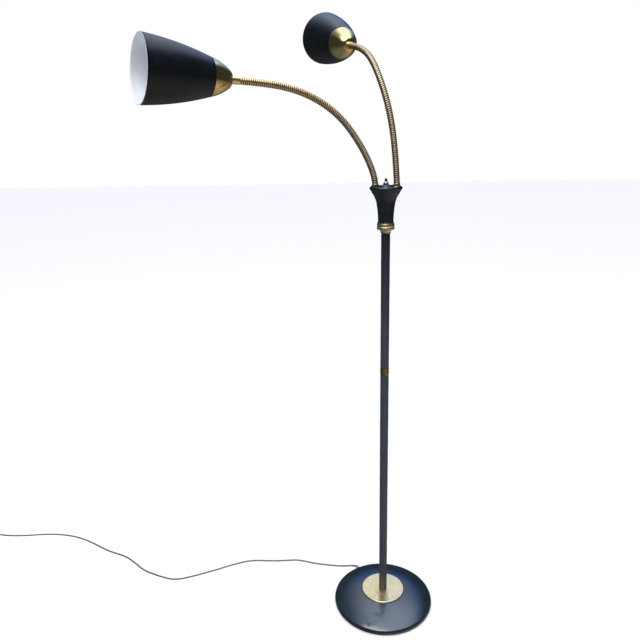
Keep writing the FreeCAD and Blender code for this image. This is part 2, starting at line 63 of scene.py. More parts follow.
# ---- camera ----
EYE = Vector((0.0, -1.518, 1.334))
YAW, PITCH, ROLL = -0.1097, 0.2974, -0.0243
LENS = 34.71

# ---- flexible necks ----
NECK_R = 7.65 * MM
NECK_BORE = 5.0 * MM
GROOVE = 0.95 * MM        # depth between two turns of the winding
GROOVE_SHARPNESS = 5
PITCH_LENGTH = 4.9 * MM   # from one turn to the next
TURN_ROWS = 8             # rows of points in one turn
NECK_SIDES = 28
NECK_FLOOR = 3.0 * MM     # the neck stands this far up inside its foot
NECK_SPARE = 7 * MM       # hidden in the ferrule

# ---- shades, along their own axis from the cap's tip ----
CAP_LENGTH = 46.5 * MM
CAP_MOUTH_R = 38.8 * MM
SHADE_MIDDLE = (56.2 * MM, 113.0 * MM)
MOUTH_R = 66.5 * MM
SHADE_LENGTH = 190.5 * MM
SHADE_WALL = 1.0 * MM
RIM_R = 1.1 * MM          # rolled edge at the mouth
ROLL_STEPS = 8
ROLL_BLACK = 2            # steps of the rolled edge that are black like the outside

# ---- cord ----
CORD_WIDTH = 5.0 * MM
LEAD_R = 1.5 * MM         # each of the cord's two leads
REST = 2.6                # height of the route where the cord lies on the floor
CORD_ROUTE = [
    (-74.68, 124.29, 7.0), (-82.5, 134.5, 5.4), (-96.0, 139.5, 3.2), (-113.0, 137.0, REST),
    (-134.0, 134.0, REST), (-168.0, 136.0, REST), (-222.0, 141.0, REST), (-272.0, 154.5, REST),
    (-310.0, 148.5, REST), (-360.0, 142.0, REST), (-425.0, 141.5, REST), (-478.0, 118.0, REST),
    (-540.0, 81.0, REST), (-600.0, 50.0, REST), (-648.0, 31.0, REST), (-700.0, 44.0, REST),
    (-762.0, 67.0, REST), (-806.0, 102.0, REST), (-850.0, 131.0, REST), (-915.0, 150.0, REST),
    (-975.0, 182.0, REST), (-1042.0, 212.0, REST), (-1110.0, 226.0, REST), (-1180.0, 224.0, REST),
    (-1248.0, 210.0, REST), (-1316.0, 206.0, REST), (-1374.0, 214.0, REST), (-1430.0, 216.5, REST),
]
COIL_CENTRE = (-1430.0, 250.0)
COIL_R = 33.5
COIL_INSIDE = 21.8
COIL_STEP = 5.7           # from one turn to the next
COIL_TURNS = 6 + 28 / 360
COIL_POINTS = 14          # in one turn
LAYER = 3.8               # how far the upper turns lie above the lower ones
TAIL_ANGLE = 242.0
TAIL_LENGTH = 22.0
TAIL_Z = 6.5
SETTLE = 22 * MM          # how far from each end the flat cord sinks onto the floor
FLOOR_GAP = 0.1 * MM


# ---------------------------------------------------------------- shader helpers
def node(tree, kind, settings=None, **inputs):
    """A new node. An input's name has _ for a space, and its value is a number, a colour or a socket."""
    made = tree.nodes.new(kind)
    for name, value in (settings or {}).items():
        setattr(made, name, value)
    for name, value in inputs.items():
        socket = made.inputs[name.replace("_", " ")]
        if isinstance(value, bpy.types.NodeSocket):
            tree.links.new(value, socket)
        else:
            socket.default_value = value
    return made


def maths(tree, operation, a, b=0.0, clamp=False):
    made = tree.nodes.new("ShaderNodeMath")
    made.operation = operation
    made.use_clamp = clamp
    for socket, value in zip(made.inputs, (a, b)):
        if isinstance(value, bpy.types.NodeSocket):
            tree.links.new(value, socket)
        else:
            socket.default_value = value
    return made.outputs[0]


def blend_colours(tree, share, a, b, how="MIX"):
    made = tree.nodes.new("ShaderNodeMix")
    made.data_type = "RGBA"
    made.blend_type = how
    for socket, value in ((made.inputs[0], share), (made.inputs[6], a), (made.inputs[7], b)):
        if isinstance(value, bpy.types.NodeSocket):
            tree.links.new(value, socket)
        elif isinstance(value, tuple):
            socket.default_value = (*value, 1.0)
        else:
            socket.default_value = value
    return made.outputs[2]


def spread(tree, value, low, high, start=0.0, end=1.0):
    """Map value from start..end to low..high, and hold it there outside that stretch."""
    made = node(tree, "ShaderNodeMapRange", Value=value)
    for name, number in (("From Min", start), ("From Max", end), ("To Min", low), ("To Max", high)):
        made.inputs[name].default_value = number
    return made.outputs[0]


def noise(tree, scale, detail=3.0, rough=0.55, where=None, twist=0.0):
    """Noise in the lamp's own space, scale per metre."""
    place = where or node(tree, "ShaderNodeTexCoord").outputs["Object"]
    return node(tree, "ShaderNodeTexNoise", Vector=place, Scale=scale, Detail=detail, Roughness=rough,
                Distortion=twist).outputs[0]


def place_parts(tree):
    """x, y and z in the lamp's own space."""
    place = node(tree, "ShaderNodeTexCoord").outputs["Object"]
    return node(tree, "ShaderNodeSeparateXYZ", Vector=place).outputs


def axis_distance(tree):
    """Distance from the pole's axis."""
    x, y, _ = place_parts(tree)
    squares = maths(tree, "ADD", maths(tree, "MULTIPLY", x, x), maths(tree, "MULTIPLY", y, y))
    return maths(tree, "SQRT", squares)


def fresh(name):
    """A new material with an empty node tree."""
    material = bpy.data.materials.new(name)
    material.use_nodes = True
    material.node_tree.nodes.clear()
    return material, material.node_tree


def finish_surface(material, tree, colour, roughness, metallic=0.0, height=None, strength=0.1, depth=0.0003,
                   **fixed):
    """A Principled shader; colour and roughness may be sockets, height drives the bump."""
    colour = (*colour, 1.0) if isinstance(colour, tuple) else colour
    shader = node(tree, "ShaderNodeBsdfPrincipled", Base_Color=colour, Roughness=roughness,
                  Metallic=metallic, **fixed)
    if height is not None:
        bump = node(tree, "ShaderNodeBump", Height=height, Strength=strength, Distance=depth)
        tree.links.new(bump.outputs[0], shader.inputs["Normal"])
    out = tree.nodes.new("ShaderNodeOutputMaterial")
    tree.links.new(shader.outputs[0], out.inputs[0])
    return material


# ---------------------------------------------------------------- materials
def enamel(name, dark, light, roughness, mottle=9.0, gloss_level=0.5, ends=()):
    """Old black enamel: uneven gloss, orange peel, dust and a few pinhole chips.

    Each of ends is a colour and the two heights between which the enamel turns to it; the pole uses one end
    for painted shade below the hub.
    """
    material, tree = fresh(name)
    cloud = noise(tree, mottle, 4.0, 0.6, twist=0.4)
    smudge = noise(tree, mottle * 4.3, 5.0, 0.65)
    dust = spread(tree, noise(tree, 620.0, 2.0), 0.0, 1.0, 0.70, 0.78)
    chips = spread(tree, noise(tree, 95.0, 6.0, 0.7), 0.0, 1.0, 0.735, 0.75)
    colour = blend_colours(tree, spread(tree, cloud, 0.0, 1.0, 0.35, 0.65), dark, light)
    for end, near, far in ends:
        colour = blend_colours(tree, spread(tree, place_parts(tree)[2], 0.0, 1.0, near, far), colour, end)
    colour = blend_colours(tree, maths(tree, "MULTIPLY", dust, 0.22), colour, (0.16, 0.16, 0.17))
    colour = blend_colours(tree, maths(tree, "MULTIPLY", chips, 0.7), colour, (0.10, 0.075, 0.06))
    gloss = maths(tree, "ADD", spread(tree, smudge, -0.05, 0.09, 0.3, 0.7), roughness)
    gloss = maths(tree, "ADD", gloss, maths(tree, "MULTIPLY", dust, 0.12))
    waves = maths(tree, "SUBTRACT", noise(tree, 70.0, 1.0), maths(tree, "MULTIPLY", chips, 0.2))
    return finish_surface(material, tree, colour, gloss, 0.0, waves, 0.05, 0.0004,
                          Specular_IOR_Level=gloss_level)


def brass(name, bright, dull, low, high, patina=60.0, stain=(0.20, 0.13, 0.05), stained=0.35, creases=0.25):
    """Lacquered brass that has tarnished in patches, with fine scratches."""
    material, tree = fresh(name)
    cloud = noise(tree, patina, 5.0, 0.6, twist=0.6)
    fine = noise(tree, patina * 9, 4.0, 0.7)
    spots = spread(tree, noise(tree, patina * 3.1, 6.0, 0.75), 0.0, 1.0, 0.62, 0.72)
    colour = blend_colours(tree, spread(tree, cloud, 0.0, 1.0, 0.32, 0.68), bright, dull)
    colour = blend_colours(tree, maths(tree, "MULTIPLY", spots, stained), colour, stain)
    wear = maths(tree, "ADD", maths(tree, "MULTIPLY", cloud, 0.6), maths(tree, "MULTIPLY", fine, 0.4))
    gloss = spread(tree, wear, low, high, 0.35, 0.65)
    dents = maths(tree, "ADD", maths(tree, "MULTIPLY", noise(tree, patina * 0.8, 2.0, twist=1.2), creases),
                  maths(tree, "MULTIPLY", fine, 0.03))
    return finish_surface(material, tree, colour, gloss, 1.0, dents, 0.35, 0.0012)


def disc_brass():
    """The base's disc: pale worn brass, cloudy, pitted, faintly turned."""
    material, tree = fresh("disc_brass")
    radius = axis_distance(tree)
    cloud = noise(tree, 42.0, 6.0, 0.65, twist=0.8)
    patch = noise(tree, 17.0, 3.0, 0.5, twist=0.5)
    pits = spread(tree, noise(tree, 520.0, 5.0, 0.7), 0.0, 1.0, 0.64, 0.71)
    worn = spread(tree, cloud, 0.0, 1.0, 0.35, 0.66)
    colour = blend_colours(tree, worn, (0.82, 0.64, 0.32), (0.66, 0.52, 0.26))
    colour = blend_colours(tree, spread(tree, patch, 0.0, 0.6, 0.46, 0.66), colour, (0.62, 0.60, 0.42))
    colour = blend_colours(tree, maths(tree, "MULTIPLY", pits, 0.75), colour, (0.22, 0.16, 0.09))
    gloss = spread(tree, cloud, 0.22, 0.42, 0.35, 0.65)
    rings = maths(tree, "SINE", maths(tree, "MULTIPLY", radius, 9000.0))
    relief = maths(tree, "ADD", maths(tree, "MULTIPLY", rings, 0.05), maths(tree, "MULTIPLY", cloud, 0.6))
    relief = maths(tree, "SUBTRACT", relief, maths(tree, "MULTIPLY", pits, 0.7))
    return finish_surface(material, tree, colour, gloss, 1.0, relief, 0.25, 0.0004)


def neck_brass(name, at_hub, at_shade):
    """Wound neck: painted shade, with some grime, darkens its grooves; its tone changes along its length."""
    material, tree = fresh(name)
    groove = node(tree, "ShaderNodeAttribute", {"attribute_name": "groove"}).outputs["Fac"]
    along = node(tree, "ShaderNodeAttribute", {"attribute_name": "along"}).outputs["Fac"]
    cloud = noise(tree, 75.0, 5.0, 0.65, twist=0.5)
    reach = maths(tree, "ADD", along, spread(tree, cloud, -0.28, 0.28, 0.3, 0.7), clamp=True)
    colour = blend_colours(tree, reach, at_hub, at_shade)
    tarnish = spread(tree, noise(tree, 400.0, 4.0), 0.0, 0.5, 0.55, 0.75)
    colour = blend_colours(tree, tarnish, colour, (0.20, 0.14, 0.075))
    # Painted shade and grime: the deeper the groove, the darker the colour.
    colour = blend_colours(tree, spread(tree, groove, 0.0, 0.85, 0.12, 0.80), colour, (0.045, 0.032, 0.018))
    gloss = spread(tree, cloud, 0.28, 0.42, 0.3, 0.7)
    gloss = maths(tree, "ADD", gloss, maths(tree, "MULTIPLY", groove, 0.35))
    scratches = noise(tree, 900.0, 3.0)
    return finish_surface(material, tree, colour, gloss, 1.0, scratches, 0.08, 0.0002)


def plated(name, colour, low, high, grain=700.0):
    """Nickel or zinc plate with a fine grain."""
    material, tree = fresh(name)
    cloud = noise(tree, 140.0, 4.0, 0.6)
    dull = tuple(0.72 * c for c in colour)
    tone = blend_colours(tree, spread(tree, cloud, 0.0, 1.0, 0.3, 0.7), colour, dull)
    gloss = spread(tree, cloud, low, high, 0.3, 0.7)
    return finish_surface(material, tree, tone, gloss, 1.0, noise(tree, grain), 0.08, 0.0002)


def moulded(name, dark, light, roughness, grain=900.0, depth=0.0003):
    """Moulded plastic or rubber with a fine grain and an uneven tone."""
    material, tree = fresh(name)
    cloud = noise(tree, 55.0, 5.0, 0.65)
    tone = blend_colours(tree, spread(tree, cloud, 0.0, 1.0, 0.3, 0.7), dark, light)
    gloss = spread(tree, cloud, roughness - 0.07, roughness + 0.1, 0.3, 0.7)
    return finish_surface(material, tree, tone, gloss, 0.0, noise(tree, grain, 3.0), 0.2, depth)


def white_inside():
    """Inside of a shade: cool white enamel, unevenly aged and a little dusty."""
    material, tree = fresh("white_enamel")
    cloud = noise(tree, 26.0, 4.0, 0.6)
    aged = spread(tree, cloud, 0.0, 1.0, 0.35, 0.68)
    tone = blend_colours(tree, aged, (0.62, 0.655, 0.695), (0.57, 0.60, 0.635))
    specks = spread(tree, noise(tree, 480.0, 3.0), 0.0, 0.35, 0.70, 0.78)
    tone = blend_colours(tree, specks, tone, (0.40, 0.38, 0.35))
    return finish_surface(material, tree, tone, spread(tree, cloud, 0.38, 0.52, 0.3, 0.7), 0.0,
                          noise(tree, 380.0, 2.0), 0.08, 0.0002)


def felt():
    """Dark felt with a fuzzy surface."""
    material, tree = fresh("felt")
    fuzz = noise(tree, 1500.0, 4.0, 0.8)
    tone = blend_colours(tree, fuzz, (0.018, 0.02, 0.02), (0.05, 0.052, 0.055))
    return finish_surface(material, tree, tone, 0.95, 0.0, fuzz, 0.6, 0.0006, Sheen_Weight=0.4)


def cast_iron():
    """Sand-cast iron with patches of rust."""
    material, tree = fresh("cast_iron")
    sand = noise(tree, 600.0, 5.0, 0.7)
    rust = spread(tree, noise(tree, 30.0, 5.0), 0.0, 0.6, 0.5, 0.75)
    tone = blend_colours(tree, rust, (0.07, 0.07, 0.073), (0.13, 0.075, 0.045))
    return finish_surface(material, tree, tone, spread(tree, sand, 0.6, 0.85), 0.6, sand, 0.5, 0.0008)


def bulb_glass():
    """Soft white bulb glass."""
    material, tree = fresh("bulb_glass")
    cloud = noise(tree, 70.0, 3.0)
    tone = blend_colours(tree, cloud, (0.86, 0.86, 0.83), (0.80, 0.80, 0.77))
    return finish_surface(material, tree, tone, spread(tree, cloud, 0.16, 0.26), 0.0, cloud, 0.03, 0.0002,
                          Coat_Weight=0.3, Coat_Roughness=0.08)


MATERIALS = {
    "base_enamel": enamel("base_enamel", (0.0075, 0.0125, 0.0185), (0.012, 0.019, 0.028), 0.17, 7.0, 0.95),
    "hub_enamel": enamel("hub_enamel", (0.0055, 0.0075, 0.011), (0.010, 0.0125, 0.018), 0.22, 24.0, 0.42),
    "shade_enamel": enamel("shade_enamel", (0.0025, 0.0035, 0.0055), (0.0045, 0.0058, 0.0088),
                           0.29, 14.0, 0.28),
    # Pole: painted shade darkens it from 0.80 m up to the hub; below 0.13 m it turns browner.
    "pole_enamel": enamel("pole_enamel", (0.032, 0.036, 0.046), (0.042, 0.047, 0.059), 0.34, 16.0,
                          ends=[((0.010, 0.012, 0.018), 0.80, 1.09), ((0.060, 0.052, 0.046), 0.13, 0.05)]),
    "white_inside": white_inside(),
    "cap_brass": brass("cap_brass", (0.80, 0.62, 0.28), (0.66, 0.49, 0.20), 0.09, 0.20, 45.0),
    "collar_brass": brass("collar_brass", (0.98, 0.84, 0.52), (0.84, 0.66, 0.34), 0.24, 0.40, 90.0),
    "band_brass": brass("band_brass", (0.52, 0.37, 0.14), (0.36, 0.25, 0.09), 0.22, 0.40, 120.0,
                        stained=0.6),
    "foot_brass": brass("foot_brass", (0.56, 0.43, 0.22), (0.38, 0.28, 0.14), 0.22, 0.38, 120.0),
    "ferrule_brass": brass("ferrule_brass", (0.96, 0.80, 0.46), (0.80, 0.62, 0.30), 0.26, 0.40, 90.0),
    "knob_brass": brass("knob_brass", (0.34, 0.22, 0.11), (0.22, 0.14, 0.07), 0.30, 0.45, 160.0,
                        creases=0.05),
    "socket_brass": brass("socket_brass", (0.62, 0.52, 0.30), (0.50, 0.40, 0.22), 0.25, 0.40, 110.0),
    "disc_brass": disc_brass(),
    "front_neck": neck_brass("front_neck_brass", (0.42, 0.315, 0.22), (0.80, 0.61, 0.31)),
    "rear_neck": neck_brass("rear_neck_brass", (0.44, 0.34, 0.22), (0.54, 0.41, 0.25)),
    "nickel": plated("nickel", (0.78, 0.78, 0.80), 0.10, 0.22),
    "steel": plated("zinc_plated_steel", (0.55, 0.55, 0.57), 0.30, 0.45),
    "moulded": moulded("moulded_black", (0.018, 0.018, 0.018), (0.03, 0.03, 0.03), 0.5),
    "rubber": moulded("relief_rubber", (0.022, 0.021, 0.02), (0.045, 0.043, 0.04), 0.68, 1300.0, 0.0004),
    "vinyl": moulded("cord_vinyl", (0.105, 0.080, 0.068), (0.165, 0.130, 0.110), 0.46, 1100.0),
    "felt": felt(),
    "cast_iron": cast_iron(),
    "glass": bulb_glass(),
}

CAD_LOOKS = {
    "felt": ["base_pad"],
    "cast_iron": ["base_weight"],
    "base_enamel": ["base_cover"],
    "hub_enamel": ["hub_body", "hub_cap"],
    "pole_enamel": ["lower_pole", "upper_pole"],
    "disc_brass": ["base_disc"],
    "collar_brass": ["hub_collar"],
    "band_brass": ["pole_joint_band"],
    "foot_brass": ["front_neck_foot", "rear_neck_foot"],
    "knob_brass": ["switch_knob"],
    "cap_brass": ["front_shade_cap", "rear_shade_cap"],
    "ferrule_brass": ["front_ferrule", "rear_ferrule"],
    "nickel": ["switch_nut", "switch_bushing", "plug_pins"],
    "steel": ["base_washer", "base_nut", "base_rod", "pole_bushings", "pole_joint_stud", "hub_rod",
              "hub_nut", "neck_lock_nuts", "switch_shaft", "front_shade_screws", "rear_shade_screws",
              "front_bulb_base", "rear_bulb_base"],
    "socket_brass": ["front_socket_cap", "rear_socket_cap", "front_socket_shell", "rear_socket_shell"],
    "moulded": ["switch_body"],
    "rubber": ["cord_relief"],
    "vinyl": ["plug_body"],
    "glass": ["front_bulb", "rear_bulb"],
}


def dress_cad_nodes():
    for look, names in CAD_LOOKS.items():
        for name in names:
            slots = NODES[name].data.materials
            for k in range(len(slots)):
                slots[k] = MATERIALS[look]
            if not slots:
                slots.append(MATERIALS[look])


# ---------------------------------------------------------------- mesh helpers
def add_object(name, mesh, *materials):
    for material in materials:
        mesh.materials.append(material)
    made = bpy.data.objects.new(name, mesh)
    bpy.context.scene.collection.objects.link(made)
    return made


def arc(a, through, b, count):
    """count + 1 points from a to b on the circle that passes through all three."""
    (ax, ay), (bx, by), (cx, cy) = a, through, b
    d = 2 * (ax * (by - cy) + bx * (cy - ay) + cx * (ay - by))
    x = ((ax**2 + ay**2) * (by - cy) + (bx**2 + by**2) * (cy - ay) + (cx**2 + cy**2) * (ay - by)) / d
    y = ((ax**2 + ay**2) * (cx - bx) + (bx**2 + by**2) * (ax - cx) + (cx**2 + cy**2) * (bx - ax)) / d
    start, middle, end = [math.atan2(p[1] - y, p[0] - x) for p in (a, through, b)]
    turn = (end - start) % math.tau
    if (middle - start) % math.tau > turn:
        turn -= math.tau
    radius = math.hypot(ax - x, ay - y)
    angles = [start + turn * k / count for k in range(count + 1)]
    return [(x + radius * math.cos(t), y + radius * math.sin(t)) for t in angles]


def turned(name, outline, slots, materials, origin, axis, sides=144):
    """A closed turned piece from (radius, height) points; slots gives each edge's material."""
    mesh = bpy.data.meshes.new(name)
    bm = bmesh.new()
    place = Matrix.Translation(origin) @ UP.rotation_difference(axis).to_matrix().to_4x4()
    rings = []
    for r, z in outline:
        angles = [math.tau * k / sides for k in range(sides)]
        rings.append([bm.verts.new(place @ Vector((r * math.cos(t), r * math.sin(t), z))) for t in angles])
    for k, slot in enumerate(slots):
        low, high = rings[k], rings[(k + 1) % len(rings)]
        for j in range(sides):
            n = (j + 1) % sides
            face = bm.faces.new((low[j], low[n], high[n], high[j]))
            face.smooth = True
            face.material_index = slot
    bmesh.ops.recalc_face_normals(bm, faces=bm.faces)
    bm.to_mesh(mesh)
    bm.free()
    return add_object(name, mesh, *materials)


def points_of(name):
    co = np.zeros(len(NODES[name].data.vertices) * 3)
    NODES[name].data.vertices.foreach_get("co", co)
    return co.reshape(-1, 3)


def middle_of(name):
    """The centre of a node's surface, which for a turned node lies on its axis."""
    mesh = NODES[name].data
    centres = np.zeros(len(mesh.polygons) * 3)
    areas = np.zeros(len(mesh.polygons))
    mesh.polygons.foreach_get("center", centres)
    mesh.polygons.foreach_get("area", areas)
    return (centres.reshape(-1, 3) * areas[:, None]).sum(axis=0) / areas.sum()


def shade_axis(arm):
    """The tip of the shade's cap and the direction to the mouth."""
    cap, shade = middle_of(arm + "_shade_cap"), middle_of(arm + "_shade")
    axis = (shade - cap) / np.linalg.norm(shade - cap)
    tip = cap + axis * ((points_of(arm + "_shade_cap") @ axis).min() - cap @ axis)
    return tip, axis


# ---------------------------------------------------------------- shades
def make_shade(arm):
    """Spun shade with a rolled edge, black outside and white inside."""
    tip, axis = shade_axis(arm)
    steps = 28
    mouth = (MOUTH_R, SHADE_LENGTH - RIM_R)
    outer = arc((CAP_MOUTH_R, CAP_LENGTH), SHADE_MIDDLE, mouth, steps)
    roll = [(MOUTH_R + 0.35 * MM - RIM_R + RIM_R * math.cos(t), SHADE_LENGTH - RIM_R + RIM_R * math.sin(t))
            for t in [math.pi * k / ROLL_STEPS for k in range(1, ROLL_STEPS + 1)]]
    inner = [(r - SHADE_WALL, z) for r, z in reversed(outer[:-1])]
    outline = outer + roll + inner
    black = len(outer) - 1 + ROLL_BLACK
    slots = [0] * black + [1] * (len(outline) - black - 1) + [0]
    paints = (MATERIALS["shade_enamel"], MATERIALS["white_inside"])
    piece = turned(arm + "_shade_spun", outline, slots, paints, Vector(tip), Vector(axis))
    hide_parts(arm + "_shade")
    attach(piece, arm + "_head")


# ---------------------------------------------------------------- necks
def smooth_line(knots, first, last, samples=80):
    """A cubic spline through the knots with even curvature, from the given first to last direction."""
    knots = np.array(knots)
    h = np.linalg.norm(np.diff(knots, axis=0), axis=1)
    n = len(knots)
    a, b = np.zeros((n, n)), np.zeros((n, 3))
    a[0, 0] = a[-1, -1] = 1
    b[0], b[-1] = first, last
    for i in range(1, n - 1):
        a[i, i - 1], a[i, i + 1] = 1 / h[i - 1], 1 / h[i]
        a[i, i] = 2 * (a[i, i - 1] + a[i, i + 1])
        b[i] = 3 * ((knots[i] - knots[i - 1]) / h[i - 1] ** 2 + (knots[i + 1] - knots[i]) / h[i] ** 2)
    slopes = np.linalg.solve(a, b)
    line = [knots[0]]
    for i in range(n - 1):
        for k in range(1, samples + 1):
            t = k / samples
            line.append((2 * t**3 - 3 * t**2 + 1) * knots[i] + (t**3 - 2 * t**2 + t) * h[i] * slopes[i]
                        + (3 * t**2 - 2 * t**3) * knots[i + 1] + (t**3 - t**2) * h[i] * slopes[i + 1])
    return np.array(line)


class Neck:
    """The centre line of one neck, with a frame that doesn't twist."""

    def __init__(self, arm):
        tip, axis = shade_axis(arm)
        low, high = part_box(arm + "_neck_foot")
        root = np.array(((low.x + high.x) / 2, (low.y + high.y) / 2, low.z + NECK_FLOOR))
        joints = {j["name"]: j for j in frame["joints"]}
        self.bends = [np.array(joints["%s_neck_bend_%d" % (arm, k + 1)]["pos_m"]) for k in range(BENDS)]
        end = tip + axis * ((points_of(arm + "_ferrule") @ axis).min() - tip @ axis)
        line = smooth_line([root, *self.bends, end], np.array(UP), axis)
        line = np.vstack([line, end + axis * NECK_SPARE])
        self.at = np.concatenate([[0], np.cumsum(np.linalg.norm(np.diff(line, axis=0), axis=1))])
        self.length = self.at[-1] - NECK_SPARE
        self.line = line
        self.tangent = np.gradient(line, self.at, axis=0)
        self.tangent /= np.linalg.norm(self.tangent, axis=1)[:, None]
        side = np.array((1.0, 0.0, 0.0))
        sides = []
        for t in self.tangent:
            side = side - t * (side @ t)
            side /= np.linalg.norm(side)
            sides.append(side)
        self.side = np.array(sides)

    def place(self, s, radius, angle):
        """A point on the skin at distance s along the neck."""
        centre, t, n = [np.array([np.interp(s, self.at, v[:, i]) for i in range(3)])
                        for v in (self.line, self.tangent, self.side)]
        b = np.cross(t, n)
        return Vector(centre + radius * (math.cos(angle) * n + math.sin(angle) * b))

    def nearest(self, point):
        k = int(np.linalg.norm(self.line - point, axis=1).argmin())
        return self.at[k], self.tangent[k]


def neck_piece(neck, name, first, last, pitch):
    """One closed stretch of wound tube between two rows of its winding. Rows run along the helix."""
    bm = bmesh.new()
    groove = bm.verts.layers.float.new("groove")
    along = bm.verts.layers.float.new("along")
    n, m = NECK_SIDES, TURN_ROWS

    def vertex(s, radius, angle, depth):
        made = bm.verts.new(neck.place(s, radius, angle))
        made[groove] = depth
        made[along] = min(max(s / neck.length, 0.0), 1.0)
        return made

    def skin(i, j):
        depth = abs(math.cos(math.pi * i / m)) ** GROOVE_SHARPNESS
        return vertex((i / m + j / n) * pitch, NECK_R - GROOVE * depth, math.tau * j / n, depth)

    def face(*corners):
        bm.faces.new(corners).smooth = True

    rows = {i: [skin(i, j) for j in range(-1, n)] for i in range(first, last + 1)}
    for i in range(first, last):
        for j in range(n):
            face(rows[i][j], rows[i][j + 1], rows[i + 1][j + 1], rows[i + 1][j])
    stations = np.linspace(first / m + 0.5, last / m + 0.5, 9) * pitch
    bore = [[vertex(s, NECK_BORE, math.tau * (j - 1) / n, 1.0) for j in range(n)] for s in stations]
    for low, high in zip(bore, bore[1:]):
        for j in range(n):
            k = (j + 1) % n
            face(low[k], low[j], high[j], high[k])
    for row, ring, column in ((first, bore[0], 0), (last, bore[-1], n)):
        start = first if column == 0 else last - m
        for j in range(n):
            corners = (rows[row][j + 1], rows[row][j], ring[j], ring[(j + 1) % n])
            face(*(corners if column == 0 else reversed(corners)))
        for i in range(start, start + m):
            corners = (rows[i][column], rows[i + 1][column], ring[0])
            face(*(corners if column == 0 else reversed(corners)))
    bmesh.ops.remove_doubles(bm, verts=bm.verts, dist=1e-6)
    bmesh.ops.recalc_face_normals(bm, faces=bm.faces)
    mesh = bpy.data.meshes.new(name)
    bm.to_mesh(mesh)
    bm.free()
    return mesh


def make_neck(arm):
    """The wound neck in one piece per bend, each piece holding its bend."""
    neck = Neck(arm)
    turns = round(neck.length / PITCH_LENGTH)
    pitch = neck.length / turns
    spots = [neck.nearest(p) for p in neck.bends]
    seams = [round((a[0] + b[0]) / 2 / pitch) * TURN_ROWS for a, b in zip(spots, spots[1:])]
    rows = [0, *seams, turns * TURN_ROWS]
    for k, (first, last) in enumerate(zip(rows, rows[1:])):
        mesh = neck_piece(neck, "%s_neck_wound_%d" % (arm, k + 1), first, last, pitch)
        piece = add_object(mesh.name, mesh, MATERIALS[arm + "_neck"])
        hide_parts("%s_neck_%d" % (arm, k + 1))
        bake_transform(piece)
        if k == BENDS - 1:
            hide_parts("%s_neck_%d" % (arm, k + 2))


# ---------------------------------------------------------------- cord
def coil_route():
    """Wound clockwise: in along the floor, then out again on top."""
    route = []
    count = round(COIL_TURNS * COIL_POINTS)
    for k in range(1, count + 1):
        t = COIL_TURNS * k / count
        angle = math.radians(270 - 360 * t)
        radius = max(COIL_R - COIL_STEP * min(t, COIL_TURNS - t), COIL_INSIDE) + 0.3 * math.sin(2.3 * t)
        lift = min(max((t - 2.8) / 0.5, 0.0), 1.0)
        x = COIL_CENTRE[0] + radius * math.cos(angle)
        y = COIL_CENTRE[1] + radius * math.sin(angle)
        route.append((x, y, REST + LAYER * lift * lift * (3 - 2 * lift)))
    angle = math.radians(TAIL_ANGLE)
    along = (math.sin(angle), -math.cos(angle))
    spot = (COIL_CENTRE[0] + COIL_R * math.cos(angle), COIL_CENTRE[1] + COIL_R * math.sin(angle))
    for reach in (0.5 * TAIL_LENGTH, TAIL_LENGTH):
        route.append((spot[0] + along[0] * reach, spot[1] + along[1] * reach, TAIL_Z))
    return route


def nurbs_line(route):
    """The smooth line that a NURBS spline with these control points makes."""
    curve = bpy.data.curves.new("cord_line", "CURVE")
    curve.dimensions = "3D"
    curve.resolution_u = 6
    spline = curve.splines.new("NURBS")
    spline.points.add(len(route) - 1)
    for point, place in zip(spline.points, route):
        point.co = (*(MM * c for c in place), 1.0)
    spline.order_u = 3
    spline.use_endpoint_u = True
    holder = bpy.data.objects.new("cord_line", curve)
    mesh = bpy.data.meshes.new_from_object(holder)
    line = [v.co.copy() for v in mesh.vertices]
    bpy.data.objects.remove(holder)
    bpy.data.curves.remove(curve)
    bpy.data.meshes.remove(mesh)
    return line


def lead_outline():
    """Section of flat two-wire cord: two round leads joined at their middle."""
    offset = CORD_WIDTH / 2 - LEAD_R
    waist = math.acos(-offset / LEAD_R)
    half = [waist - 2 * waist * k / 8 for k in range(9)]
    right = [(offset + LEAD_R * math.cos(t), LEAD_R * math.sin(t)) for t in half]
    left = [(-x, -y) for x, y in right]
    return right + left[1:-1]


def make_cord():
    """Flat two-wire cord swept along its line, lying on the floor between its exit and its plug."""
    line = nurbs_line(CORD_ROUTE + coil_route())
    section = lead_outline()
    at = np.concatenate([[0], np.cumsum([(b - a).length for a, b in zip(line, line[1:])])])
    drop = REST * MM - LEAD_R - FLOOR_GAP
    bm = bmesh.new()
    rings = []
    for k, centre in enumerate(line):
        along = (line[min(k + 1, len(line) - 1)] - line[max(k - 1, 0)]).normalized()
        side = UP.cross(along).normalized()
        top = along.cross(side)
        share = min(at[k] / SETTLE, (at[-1] - at[k]) / SETTLE, 1.0)
        middle = centre - top * (drop * share)
        rings.append([bm.verts.new(middle + side * x + top * y) for x, y in section])
    for low, high in zip(rings, rings[1:]):
        for j in range(len(section)):
            n = (j + 1) % len(section)
            bm.faces.new((low[j], low[n], high[n], high[j])).smooth = True
    bm.faces.new(rings[0])
    bm.faces.new(rings[-1])
    bmesh.ops.recalc_face_normals(bm, faces=bm.faces)
    mesh = bpy.data.meshes.new("lamp_cord")
    bm.to_mesh(mesh)
    bm.free()
    cord = add_object("lamp_cord", mesh, MATERIALS["vinyl"])
    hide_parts("power_cord", "cord_coil")
    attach(cord, "root")


